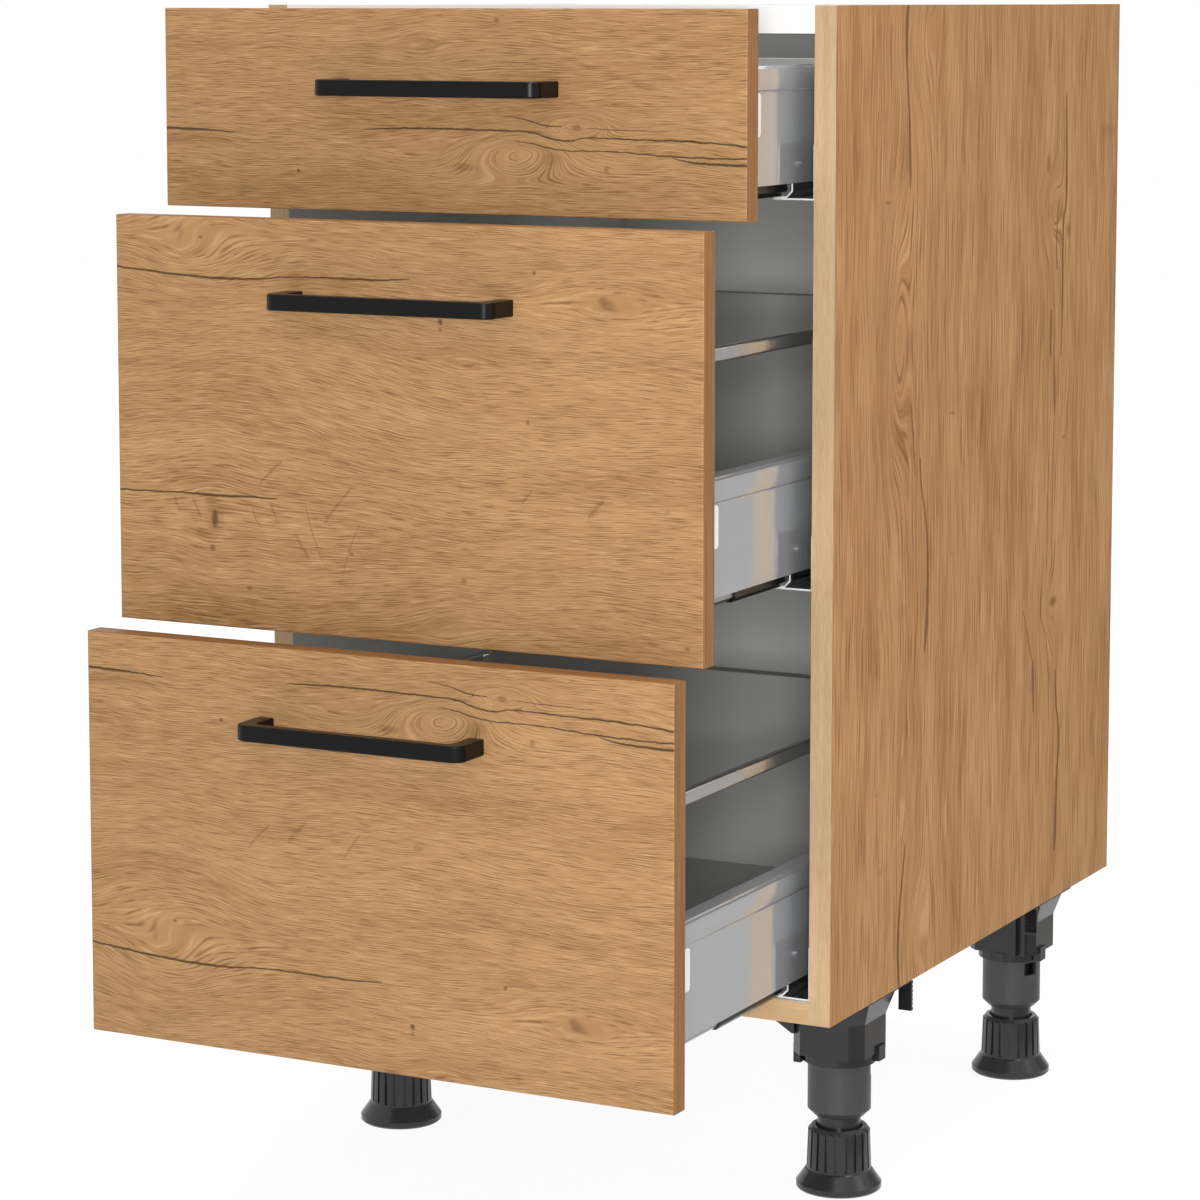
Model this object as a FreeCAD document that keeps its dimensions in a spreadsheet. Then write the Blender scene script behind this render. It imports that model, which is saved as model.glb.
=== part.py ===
"""Kitchen base cabinet, 45 cm wide, with three drawers on full-extension runners and four levelling legs.

Frame: X to the right, Y to the back, Z up, millimetres. The origin lies on the floor under the middle of the
cabinet as it stands with its drawers part open, as the photograph shows it.
"""
import FreeCAD, Part
import math
import os
import re
import Sketcher

Vector = FreeCAD.Vector

SIZES = dict(
    # carcass
    carcass_width=450,
    carcass_depth=560,
    carcass_height=704,
    board=16,
    back_board=3,
    back_inset=22,
    groove_depth=8,
    groove_play=0.2,
    rail_depth=90,
    rail_board=19,
    worktop_hole_spread=300,
    worktop_hole_bore=5,
    dowel_bore=8,
    dowel_length=32,
    dowel_in_side=12,
    dowel_play=0.1,
    # fronts and their gaps
    front_board=16,
    shallow_front=137,
    deep_front=279,
    front_gap=3,
    lower_reveal=1,
    side_reveal=1.5,
    front_clear=2,
    front_edge_round=1.2,
    # how far each drawer stands open
    opening_top=119,
    opening_middle=182,
    opening_bottom=223,
    # double-walled drawer sides
    drawer_side_gap=13,
    drawer_side_width=16,
    drawer_side_height=80,
    drawer_side_length=490,
    drawer_sheet=1.2,
    cap_height=17,
    cap_step=1,
    cap_round=2,
    skirt_height=9,
    sill_width=7.5,
    fit=0.3,
    bottom_drop=6.9,
    deep_back_height=167,
    shallow_back_height=78,
    cover_width=38,
    cover_height=29,
    cover_drop=18,
    cover_set_back=25.5,
    cover_round=3,
    fixing_depth=60,
    fixing_height=44,
    gallery_level=160,
    gallery_height=10,
    gallery_width=8,
    gallery_socket=13,
    socket_depth=9,
    # runners
    runner_level=28,
    runner_pitch_low=288,
    runner_pitch_high=268,
    runner_length=500,
    runner_set_back=2,
    runner_half_width=9.5,
    runner_channel_height=15.5,
    runner_drop=10.5,
    runner_corner=4.5,
    runner_sheet=1.2,
    runner_slot=4,
    runner_side_play=0.5,
    runner_seat_play=0.3,
    runner_offset=13,
    runner_flange=38,
    slide_member_length=440,
    slide_member_start=8,
    drawer_member_length=470,
    drawer_member_start=4,
    drawer_member_neck=1.5,
    drawer_member_plate=15,
    drawer_member_sheet=1.5,
    runner_screw_first=37,
    runner_screw_pitch=224,
    runner_screw_rise=22,
    wood_screw_core=1.7,
    wood_screw_head=3.6,
    wood_screw_length=12,
    wood_screw_cap=2,
    # handles
    handle_spread=160,
    handle_leg=12,
    handle_bar=9,
    handle_height=11,
    handle_reach=32,
    handle_drop=53,
    handle_bend=9,
    handle_inner_bend=4,
    handle_edge=1.2,
    handle_thread=2,
    handle_thread_depth=14,
    handle_screw_play=0.1,
    handle_screw_head=4,
    handle_screw_cap=2.5,
    handle_screw_bite=11,
    # legs
    leg_height=150,
    leg_inset_side=41,
    leg_inset_front=111,
    leg_inset_back=107,
    bracket_plate=3,
    bracket_half=38,
    bracket_wing=55,
    bracket_tail=46,
    housing_top=34,
    housing_half=28,
    housing_corner=9,
    housing_taper=22,
    housing_bottom=48,
    rim_half=26.5,
    rim_bottom=55,
    clip_bottom=57,
    rib_thick=2.5,
    rib_reach=31,
    tube_radius=23,
    tube_wall=2.4,
    tube_play=0.1,
    tube_top=8,
    tube_taper=4.5,
    tube_guide=14,
    stem_radius=15.8,
    stem_top=36,
    collar_radius=22.5,
    collar_flare=1,
    collar_top=46.5,
    collar_gap=8.5,
    collar_bottom=15,
    collar_groove=1,
    collar_grooves=20,
    plate_radius=31,
    plate_edge=5,
    comb_width=10,
    comb_thick=4,
    comb_drop=22,
    comb_tooth=1.6,
    comb_pitch=3.2,
    comb_teeth=6,
)

# Places that follow from the sizes above. A name here stands for its formula, in brackets.
PLACES = dict(
    front_y="(front_clear + opening_bottom + front_board + handle_reach - carcass_depth) / 2",
    rear_y="front_y + carcass_depth",
    back_y="rear_y - back_inset",
    floor_z="leg_height",
    top_z="leg_height + carcass_height",
    tube_bottom="leg_height - collar_top - collar_gap",
    inner_x="carcass_width / 2 - board",
    dowel_z="floor_z + board / 2",
    top_dowel_z="top_z - board / 2",
    back_rail_y="back_y - fit - rail_depth",
    # drawer sides: outer and inner face of the right-hand one
    side_x="inner_x - drawer_side_gap",
    side_in_x="side_x - drawer_side_width",
    wall_x="side_x - cap_step",
    runner_x="side_x - runner_offset",
    leg_x="carcass_width / 2 - leg_inset_side",
    leg_front_y="front_y + leg_inset_front",
    leg_rear_y="rear_y - leg_inset_back",
    # middle member and drawer member of a runner, each nested in the one outside it
    nest="runner_sheet + runner_side_play",
    slide_half="runner_half_width - nest",
    slide_height="runner_channel_height - 2 * runner_sheet - runner_side_play - runner_seat_play",
    slide_corner="runner_corner - 0.5858 * nest",
    bead_half="slide_half - nest",
    bead_height="slide_height - 2 * runner_sheet - runner_side_play - runner_seat_play",
    bead_corner="slide_corner - 0.5858 * nest",
)

DRAWERS = dict(
    top=dict(
        front_z="floor_z + lower_reveal + 2 * deep_front + 2 * front_gap",
        front_height="shallow_front",
        level="floor_z + runner_level + runner_pitch_low + runner_pitch_high",
        opening="opening_top",
        back_height="shallow_back_height",
        deep=False,
    ),
    middle=dict(
        front_z="floor_z + lower_reveal + deep_front + front_gap",
        front_height="deep_front",
        level="floor_z + runner_level + runner_pitch_low",
        opening="opening_middle",
        back_height="deep_back_height",
        deep=True,
    ),
    bottom=dict(
        front_z="floor_z + lower_reveal",
        front_height="deep_front",
        level="floor_z + runner_level",
        opening="opening_bottom",
        back_height="deep_back_height",
        deep=True,
    ),
)

doc = FreeCAD.newDocument("drawer_base_cabinet")
sheet = doc.addObject("Spreadsheet::Sheet", "sizes")
for row, (name, value) in enumerate(SIZES.items(), 1):
    sheet.set(f"A{row}", name)
    sheet.set(f"B{row}", str(value))
    sheet.setAlias(f"B{row}", name)
doc.recompute()

nodes = []


# ---------------------------------------------------------------- formulas and features


def formula(text):
    """Writes out the named places in text, down to cells of the sheet."""

    def written_out(match):
        word = match.group(0)
        if word in PLACES:
            return f"({formula(PLACES[word])})"
        return f"sizes.{word}" if word in SIZES else word

    return re.sub(r"[a-z]\w*", written_out, text)


def bind(thing, **formulas):
    """Binds properties of thing to formulas; a double underscore stands for a dot in a property's path."""
    for path, text in formulas.items():
        thing.setExpression(path.replace("__", "."), formula(text))


def node(thing, label):
    """Makes thing a sub-part, which is written to a file of that name."""
    thing.Label = label
    nodes.append(thing)
    return thing


def new_body(name):
    return doc.addObject("PartDesign::Body", name)


def origin_feature(body, role):
    return next(f for f in body.Origin.OriginFeatures if f.Role == role)


def new_sketch(body, plane, level="0"):
    """A sketch on the XY, XZ or YZ plane, moved to level along Z, Y or X."""
    sketch = body.newObject("Sketcher::SketchObject", "Sketch")
    sketch.AttachmentSupport = [(origin_feature(body, plane + "_Plane"), "")]
    sketch.MapMode = "FlatFace"
    bind(sketch, AttachmentOffset__Base__z=f"-({level})" if plane == "XZ" else level)
    return sketch


def pin(sketch, curve, point, start, x, y):
    """Fixes a point of a sketch at two formulas."""
    for kind, value, text in (("DistanceX", start.x, x), ("DistanceY", start.y, y)):
        number = sketch.addConstraint(Sketcher.Constraint(kind, -1, 1, curve, point, value))
        sketch.setExpression(f"Constraints[{number}]", formula(text))


def polygon(sketch, corners):
    """A closed outline of straight lines through corners, each a pair of formulas, anticlockwise."""
    first = sketch.GeometryCount
    count = len(corners)
    turns = [2 * math.pi * number / count for number in range(count)]
    start = [Vector(100 * math.cos(turn), 100 * math.sin(turn), 0) for turn in turns]
    for number in range(count):
        sketch.addGeometry(Part.LineSegment(start[number], start[(number + 1) % count]), False)
    for number in range(count):
        ahead = first + (number + 1) % count
        sketch.addConstraint(Sketcher.Constraint("Coincident", first + number, 2, ahead, 1))
    for number, (x, y) in enumerate(corners):
        pin(sketch, first + number, 1, start[number], x, y)


def rectangle(sketch, x_low, x_high, y_low, y_high):
    polygon(sketch, [(x_low, y_low), (x_high, y_low), (x_high, y_high), (x_low, y_high)])


def circle(sketch, x, y, radius):
    number = sketch.addGeometry(Part.Circle(Vector(), Vector(0, 0, 1), 1), False)
    pin(sketch, number, 3, Vector(), x, y)
    size = sketch.addConstraint(Sketcher.Constraint("Radius", number, 1))
    sketch.setExpression(f"Constraints[{size}]", formula(radius))


def pad(body, sketch, length, backwards=False, both_ways=False):
    """Adds material from sketch: towards +Z, -Y or +X, or the other way if backwards."""
    feature = body.newObject("PartDesign::Pad", "Pad")
    feature.Profile = sketch
    feature.Reversed = backwards
    feature.Midplane = both_ways
    bind(feature, Length=length)
    sketch.Visibility = False
    return feature


def pocket(body, sketch, length, backwards=False, both_ways=False):
    """Cuts from sketch towards -Z, +Y or -X, or the other way if backwards, and sees that it cut."""
    doc.recompute()
    before = body.Shape.Volume
    feature = body.newObject("PartDesign::Pocket", "Pocket")
    feature.Profile = sketch
    feature.Reversed = backwards
    feature.Midplane = both_ways
    bind(feature, Length=length)
    doc.recompute()
    if body.Shape.Volume > before - 0.01:
        raise RuntimeError(f"a pocket in {body.Name} cuts nothing")
    return feature


def spin(body, sketch):
    """A solid of revolution round the sketch's upright axis."""
    feature = body.newObject("PartDesign::Revolution", "Revolution")
    feature.Profile = sketch
    feature.ReferenceAxis = (sketch, ["V_Axis"])
    feature.Angle = 360
    return feature


def pattern(body, kind, original, axis, **settings):
    """Repeats a feature round or along one of the body's own axes."""
    feature = body.newObject("PartDesign::" + kind, kind)
    feature.Originals = [original]
    target = "Axis" if kind == "PolarPattern" else "Direction"
    setattr(feature, target, (origin_feature(body, axis + "_Axis"), [""]))
    for name, value in settings.items():
        if isinstance(value, str):
            feature.setExpression(name, formula(value))
        else:
            setattr(feature, name, value)
    body.Tip = feature
    return feature


def soften(body, size, wanted, kind="Fillet"):
    """Rounds or bevels the edges of body that wanted(edge, box of the body) picks."""
    doc.recompute()
    base = body.Tip
    box = base.Shape.BoundBox
    names = [f"Edge{number}" for number, edge in enumerate(base.Shape.Edges, 1) if wanted(edge, box)]
    feature = body.newObject("PartDesign::" + kind, kind)
    feature.Base = (base, names)
    bind(feature, **{"Radius" if kind == "Fillet" else "Size": size})
    return feature


def runs_along(edge, axis):
    """True for a straight edge along X, Y or Z."""
    ends = edge.BoundBox
    lengths = dict(X=ends.XLength, Y=ends.YLength, Z=ends.ZLength)
    others = sum(length for name, length in lengths.items() if name != axis)
    return edge.Curve.TypeId == "Part::GeomLine" and others < 1e-6 < lengths[axis]


def near(value, target):
    return abs(value - target) < 1e-4


def mirrored(thing, name):
    """The left-hand twin of a right-hand piece."""
    twin = doc.addObject("Part::Mirroring", name)
    twin.Source = thing
    twin.Base = Vector(0, 0, 0)
    twin.Normal = Vector(1, 0, 0)
    return twin


def mirrored_back(thing, name):
    """The rear twin of a piece at a front leg."""
    twin = doc.addObject("Part::Mirroring", name)
    twin.Source = thing
    twin.Normal = Vector(0, 1, 0)
    bind(twin, Base__y="(leg_front_y + leg_rear_y) / 2")
    return twin


def group(label, pieces):
    """Like pieces that share one sub-part, as separate solids."""
    together = doc.addObject("Part::Compound", label)
    together.Links = pieces
    return node(together, label)


def pair(label, right):
    return group(label, [right, mirrored(right, label + "_left")])


def rod(name, radius, length, x, y, z, towards):
    """A round pin from (x, y, z) towards X or Y."""
    piece = doc.addObject("Part::Cylinder", name)
    bind(piece, Radius=radius, Height=length, Placement__Base__x=x, Placement__Base__y=y, Placement__Base__z=z)
    turn = dict(X=(Vector(0, 1, 0), 90), Y=(Vector(1, 0, 0), -90), Z=(Vector(0, 0, 1), 0))[towards]
    piece.Placement.Rotation = FreeCAD.Rotation(*turn)
    return piece


def headed_screw(name, core, length, head, cap, x, y, z, towards):
    """A screw whose head's underside is at (x, y, z) and whose shank runs towards X, Y or Z."""
    body = new_body(name)
    outline = new_sketch(body, "XZ")
    corners = [("0", f"-({cap})"), (head, f"-({cap})"), (head, "0"), (core, "0"), (core, length), ("0", length)]
    polygon(outline, corners)
    spin(body, outline)
    turn = dict(X=(Vector(0, 1, 0), 90), Y=(Vector(1, 0, 0), -90), Z=(Vector(0, 0, 1), 0))[towards]
    body.Placement.Rotation = FreeCAD.Rotation(*turn)
    bind(body, Placement__Base__x=x, Placement__Base__y=y, Placement__Base__z=z)
    return body


# ---------------------------------------------------------------- carcass

BOTTOM_DOWELS = ["front_y + 45", "front_y + carcass_depth / 2", "back_y - 45"]
RAIL_DOWELS = ["front_y + 25", "front_y + rail_depth - 25", "back_rail_y + 25", "back_rail_y + rail_depth - 25"]
SCREW_RISE = "runner_screw_rise - runner_drop"


def runner_screw_places():
    """(Y, Z) of the screws that hold the runners of one side."""
    for drawer in DRAWERS.values():
        for number in range(2):
            y = f"front_y + runner_screw_first + {number} * runner_screw_pitch"
            yield y, f"{drawer['level']} + {SCREW_RISE}"


def side_panel():
    """Upright of coated chipboard with a groove for the back and blind holes on its inner face."""
    body = new_body("side_panel_right")
    outline = new_sketch(body, "YZ", "inner_x")
    rectangle(outline, "front_y", "rear_y", "floor_z", "top_z")
    pad(body, outline, "board")
    groove = new_sketch(body, "YZ", "inner_x")
    rectangle(groove, "back_y", "back_y + back_board + groove_play", "floor_z", "top_z")
    pocket(body, groove, "groove_depth", backwards=True)
    holes = new_sketch(body, "YZ", "inner_x")
    for y in BOTTOM_DOWELS:
        circle(holes, y, "dowel_z", "dowel_bore / 2")
    for y in RAIL_DOWELS:
        circle(holes, y, "top_dowel_z", "dowel_bore / 2")
    pocket(body, holes, "dowel_in_side", backwards=True)
    pilots = new_sketch(body, "YZ", "inner_x")
    for y, z in runner_screw_places():
        circle(pilots, y, z, "wood_screw_core + dowel_play")
    pocket(body, pilots, "wood_screw_length", backwards=True)
    node(body, "side_panel_right")
    node(mirrored(body, "side_panel_left"), "side_panel_left")


def end_holes(body, places, z):
    """Dowel holes in both ends of a board that stands between the sides."""
    for x, backwards in (("inner_x", False), ("-inner_x", True)):
        holes = new_sketch(body, "YZ", x)
        for y in places:
            circle(holes, y, z, "dowel_bore / 2")
        pocket(body, holes, "dowel_length - dowel_in_side", backwards)


def bottom_panel():
    """Bottom between the sides, grooved for the back and drilled for the legs' screws."""
    body = new_body("bottom_panel")
    outline = new_sketch(body, "XY", "floor_z")
    rectangle(outline, "-inner_x", "inner_x", "front_y", "rear_y")
    pad(body, outline, "board")
    groove = new_sketch(body, "XY", "floor_z + board")
    rectangle(groove, "-inner_x", "inner_x", "back_y", "back_y + back_board + groove_play")
    pocket(body, groove, "groove_depth")
    end_holes(body, BOTTOM_DOWELS, "dowel_z")
    pilots = new_sketch(body, "XY", "floor_z")
    for x, y in leg_screw_places():
        circle(pilots, x, y, "wood_screw_core + dowel_play")
    pocket(body, pilots, "wood_screw_length", backwards=True)
    node(body, "bottom_panel")


def back_panel():
    """Thin back that slides down its grooves from above."""
    body = new_body("back_panel")
    outline = new_sketch(body, "XZ", "back_y + groove_play / 2")
    half = "inner_x + groove_depth - groove_play"
    rectangle(outline, f"-({half})", half, "floor_z + board - groove_depth + groove_play", "top_z")
    pad(body, outline, "back_board", backwards=True)
    node(body, "back_panel")


def top_rail(label, y, places):
    """Flat rail across the top, with two holes for the worktop's screws."""
    body = new_body(label)
    outline = new_sketch(body, "XY", "top_z - rail_board")
    rectangle(outline, "-inner_x", "inner_x", y, f"{y} + rail_depth")
    pad(body, outline, "rail_board")
    end_holes(body, places, "top_dowel_z")
    holes = new_sketch(body, "XY", "top_z")
    for side in ("-", ""):
        circle(holes, f"{side}worktop_hole_spread / 2", f"{y} + rail_depth / 2", "worktop_hole_bore / 2")
    pocket(body, holes, "2 * rail_board")
    node(body, label)


def dowels():
    """Wooden dowels that join the sides to the bottom and the rails."""
    places = [(y, "dowel_z") for y in BOTTOM_DOWELS] + [(y, "top_dowel_z") for y in RAIL_DOWELS]
    pins = []
    for number, (y, z) in enumerate(places):
        start = "inner_x - dowel_length + dowel_in_side + dowel_play"
        length = "dowel_length - 2 * dowel_play"
        right = rod(f"dowel_{number}", "dowel_bore / 2 - dowel_play", length, start, y, z, "X")
        pins += [right, mirrored(right, f"dowel_left_{number}")]
    group("carcass_dowels", pins)


# ---------------------------------------------------------------- runners


def channel(cx, low, half, height, corner, slot):
    """Outline of an eight-sided sheet channel that is open along a slot at its top."""
    top = f"{low} + {height}"
    bend = "0.4142 * runner_sheet"
    outer = [
        (slot, top),
        (f"{half} - {corner}", top),
        (half, f"{top} - {corner}"),
        (half, f"{low} + {corner}"),
        (f"{half} - {corner}", low),
    ]
    inner = [
        (f"{half} - {corner} - {bend}", f"{low} + runner_sheet"),
        (f"{half} - runner_sheet", f"{low} + {corner} + {bend}"),
        (f"{half} - runner_sheet", f"{top} - {corner} - {bend}"),
        (f"{half} - {corner} - {bend}", f"{top} - runner_sheet"),
        (slot, f"{top} - runner_sheet"),
    ]
    right = [(f"{cx} + {x}", z) for x, z in outer]
    left = [(f"{cx} - ({x})", z) for x, z in reversed(outer)]
    left_inner = [(f"{cx} - ({x})", z) for x, z in reversed(inner)]
    right_inner = [(f"{cx} + {x}", z) for x, z in inner]
    return (right + left + left_inner + right_inner)[::-1]


def cabinet_rails(name, level):
    """Outer channels of a drawer's two runners, each on an angle that is screwed to the carcass side."""
    body = new_body(f"cabinet_rail_{name}")
    low = f"{level} - runner_drop"
    start = "front_y + runner_set_back"
    profile = new_sketch(body, "XZ", start)
    polygon(
        profile,
        channel("runner_x", low, "runner_half_width", "runner_channel_height", "runner_corner", "runner_slot"),
    )
    pad(body, profile, "runner_length", backwards=True)
    angle = new_sketch(body, "XZ", start)
    inboard = "runner_x - runner_half_width + runner_corner"
    foot = f"{low} - runner_sheet"
    corners = [(inboard, foot), ("inner_x", foot), ("inner_x", f"{foot} + runner_flange")]
    corners += [("inner_x - runner_sheet", f"{foot} + runner_flange"), ("inner_x - runner_sheet", low)]
    corners += [(inboard, low)]
    polygon(angle, corners)
    pad(body, angle, "runner_length", backwards=True)
    holes = new_sketch(body, "YZ", "inner_x")
    for number in range(2):
        y = f"front_y + runner_screw_first + {number} * runner_screw_pitch"
        circle(holes, y, f"{level} + {SCREW_RISE}", "wood_screw_core + 2 * dowel_play")
    pocket(body, holes, "2 * runner_sheet")
    pair(f"cabinet_rails_{name}", body)


def slide_rails(name, level, opening):
    """Middle members of the runners, which travel half as far as the drawer."""
    body = new_body(f"slide_rail_{name}")
    start = f"front_y + slide_member_start - ({opening}) / 2"
    profile = new_sketch(body, "XZ", start)
    low = f"{level} - runner_drop + runner_sheet + runner_seat_play"
    polygon(profile, channel("runner_x", low, "slide_half", "slide_height", "slide_corner", "runner_slot - 1"))
    pad(body, profile, "slide_member_length", backwards=True)
    pair(f"slide_rails_{name}", body)


def drawer_rails(name, level, rear_of_front):
    """Drawer members of the runners: a bead in the middle member, a neck, and a plate under the drawer side."""
    body = new_body(f"drawer_rail_{name}")
    low = f"{level} - runner_drop + 2 * runner_sheet + 2 * runner_seat_play"
    bead_top = f"{low} + bead_height"
    plate_low = f"{level} + skirt_height - drawer_member_sheet"
    plate_top = f"{level} + skirt_height"
    half = [
        ("bead_half - bead_corner", low),
        ("bead_half", f"{low} + bead_corner"),
        ("bead_half", f"{bead_top} - bead_corner"),
        ("bead_half - bead_corner", bead_top),
        ("drawer_member_neck", bead_top),
        ("drawer_member_neck", plate_low),
        ("drawer_member_plate / 2", plate_low),
        ("drawer_member_plate / 2", plate_top),
    ]
    corners = [(f"runner_x + ({x})", z) for x, z in half]
    corners += [(f"runner_x - ({x})", z) for x, z in reversed(half)]
    profile = new_sketch(body, "XZ", f"{rear_of_front} + drawer_member_start")
    polygon(profile, corners)
    pad(body, profile, "drawer_member_length", backwards=True)
    pair(f"drawer_rails_{name}", body)


def runner_screws():
    """Pan-head screws that hold the cabinet rails to the sides."""
    screws = []
    for number, (y, z) in enumerate(runner_screw_places()):
        right = headed_screw(
            f"runner_screw_{number}",
            "wood_screw_core",
            "wood_screw_length",
            "wood_screw_head",
            "wood_screw_cap",
            "inner_x - runner_sheet",
            y,
            z,
            "X",
        )
        screws += [right, mirrored(right, f"runner_screw_left_{number}")]
    group("runner_screws", screws)


# ---------------------------------------------------------------- drawers


def drawer_front(name, front_y, low, height, handle_z):
    """Front board with softened edges and the holes of its handle."""
    body = new_body(f"front_{name}")
    half = "carcass_width / 2 - side_reveal"
    outline = new_sketch(body, "XZ", f"{front_y} + front_board")
    rectangle(outline, f"-({half})", half, low, f"{low} + {height}")
    pad(body, outline, "front_board")
    soften(body, "front_edge_round", lambda edge, box: near(edge.BoundBox.YMax, box.YMin))
    holes = new_sketch(body, "XZ", front_y)
    for side in ("-", ""):
        circle(holes, f"{side}handle_spread / 2", handle_z, "handle_thread + 2 * handle_screw_play")
    pocket(body, holes, "2 * front_board")
    node(body, f"front_{name}")


def drawer_handle(name, front_y, handle_z):
    """Bar handle of rectangular section, bent at both ends and tapped for its screws."""
    body = new_body(f"handle_{name}")
    outer = "handle_spread / 2 + handle_leg / 2"
    inner = "handle_spread / 2 - handle_leg / 2"
    face = f"{front_y} - handle_reach"
    outline = new_sketch(body, "XY", f"{handle_z} - handle_height / 2")
    right = [(outer, face), (outer, front_y), (inner, front_y), (inner, f"{face} + handle_bar")]
    corners = [(f"-({x})", y) for x, y in right[:1]] + right
    corners += [(f"-({x})", y) for x, y in reversed(right[1:])]
    polygon(outline, corners)
    pad(body, outline, "handle_height")

    def at_bends(edge, box):
        outside = near(edge.BoundBox.YMin, box.YMin)
        return runs_along(edge, "Z") and outside

    def in_bends(edge, box):
        depth = edge.BoundBox.YMin
        return runs_along(edge, "Z") and box.YMin + 1e-3 < depth < box.YMax - 1e-3

    def on_rim(edge, box):
        level = edge.BoundBox.ZLength < 1e-6
        return level and edge.BoundBox.YMin < box.YMax - 1e-3

    soften(body, "handle_bend", at_bends)
    soften(body, "handle_inner_bend", in_bends)
    soften(body, "handle_edge", on_rim)
    taps = new_sketch(body, "XZ", front_y)
    for side in ("-", ""):
        circle(taps, f"{side}handle_spread / 2", handle_z, "handle_thread")
    pocket(body, taps, "handle_thread_depth", backwards=True)
    node(body, f"handle_{name}")


def handle_screws(name, front_y, handle_z):
    """Machine screws through the front into the handle's legs."""
    rear = f"{front_y} + front_board"
    right = headed_screw(
        f"handle_screw_{name}",
        "handle_thread - handle_screw_play",
        "front_board + handle_screw_bite",
        "handle_screw_head",
        "handle_screw_cap",
        "handle_spread / 2",
        rear,
        handle_z,
        "Y",
    )
    right.Placement.Rotation = FreeCAD.Rotation(Vector(1, 0, 0), 90)
    pair(f"handle_screws_{name}", right)


def drawer_side(name, level, rear_of_front):
    """Double-walled side of folded sheet: a skirt over the runner, a sill under the bottom board, a wider cap."""
    body = new_body(f"drawer_side_{name}")
    sill = f"{level} + skirt_height"
    sill_top = f"{sill} + drawer_sheet"
    top = f"{level} + drawer_side_height"
    step = f"{top} - cap_height"
    outer = [
        ("wall_x", level),
        ("wall_x", step),
        ("side_x", f"{step} + cap_step"),
        ("side_x", f"{top} - cap_round"),
        ("side_x - cap_round", top),
        ("side_in_x + cap_round", top),
        ("side_in_x", f"{top} - cap_round"),
        ("side_in_x", sill_top),
        ("side_in_x - sill_width", sill_top),
        ("side_in_x - sill_width", sill),
        ("wall_x - drawer_sheet", sill),
        ("wall_x - drawer_sheet", level),
    ]
    bend = "0.4142 * drawer_sheet"
    hollow = [
        ("wall_x - drawer_sheet", sill_top),
        ("wall_x - drawer_sheet", f"{step} + {bend}"),
        ("side_x - drawer_sheet", f"{step} + cap_step + {bend}"),
        ("side_x - drawer_sheet", f"{top} - cap_round - {bend}"),
        (f"side_x - cap_round - {bend}", f"{top} - drawer_sheet"),
        (f"side_in_x + cap_round + {bend}", f"{top} - drawer_sheet"),
        ("side_in_x + drawer_sheet", f"{top} - cap_round - {bend}"),
        ("side_in_x + drawer_sheet", sill_top),
    ]
    profile = new_sketch(body, "XZ", rear_of_front)
    polygon(profile, outer)
    polygon(profile, hollow)
    pad(body, profile, "drawer_side_length", backwards=True)
    node(body, f"drawer_side_right_{name}")
    node(mirrored(body, f"drawer_side_left_{name}"), f"drawer_side_left_{name}")


def drawer_bottom(name, level, rear_of_front):
    """Bottom board, rebated along both edges so that it lies on the sills of the sides."""
    body = new_body(f"drawer_bottom_{name}")
    low = f"{level} + skirt_height - bottom_drop"
    rebate = f"{level} + skirt_height + drawer_sheet"
    top = f"{low} + board"
    narrow = "side_in_x - sill_width - fit"
    wide = "side_in_x - fit"
    corners = [(f"-({narrow})", low), (narrow, low), (narrow, rebate), (wide, rebate), (wide, top)]
    corners += [(f"-({wide})", top), (f"-({wide})", rebate), (f"-({narrow})", rebate)]
    profile = new_sketch(body, "XZ", rear_of_front)
    polygon(profile, corners)
    pad(body, profile, "drawer_side_length", backwards=True)
    node(body, f"drawer_bottom_{name}")


def drawer_back(name, level, rear_of_front, height):
    """Back board that stands on the bottom between the sides."""
    body = new_body(f"drawer_back_{name}")
    foot = f"{level} + skirt_height - bottom_drop + board"
    half = "side_in_x - fit"
    outline = new_sketch(body, "XZ", f"{rear_of_front} + drawer_side_length - board")
    rectangle(outline, f"-({half})", half, foot, f"{level} + {height}")
    pad(body, outline, "board", backwards=True)
    node(body, f"drawer_back_{name}")


def cover_caps(name, level, rear_of_front):
    """Plastic covers over the front adjusters, on the outer walls."""
    body = new_body(f"cover_cap_{name}")
    outline = new_sketch(body, "YZ", "wall_x")
    start = f"{rear_of_front} + cover_set_back"
    high = f"{level} + drawer_side_height - cover_drop"
    rectangle(outline, start, f"{start} + cover_width", f"{high} - cover_height", high)
    pad(body, outline, "cap_step")
    soften(body, "cover_round", lambda edge, box: runs_along(edge, "X"))
    pair(f"cover_caps_{name}", body)


def front_fixings(name, level, rear_of_front):
    """Cast blocks inside the hollow sides that the front is screwed to."""
    body = new_body(f"front_fixing_{name}")
    low = f"{level} + skirt_height + drawer_sheet"
    outline = new_sketch(body, "YZ", "side_in_x + drawer_sheet + fit")
    end = f"{rear_of_front} + fixing_depth"
    corners = [(rear_of_front, low), (end, low), (end, f"{low} + fixing_height - fixing_depth / 2")]
    corners += [(f"{rear_of_front} + fixing_depth / 2", f"{low} + fixing_height")]
    corners += [(rear_of_front, f"{low} + fixing_height")]
    polygon(outline, corners)
    pad(body, outline, "drawer_side_width - cap_step - 2 * drawer_sheet - 2 * fit")
    pair(f"front_fixings_{name}", body)


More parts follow.
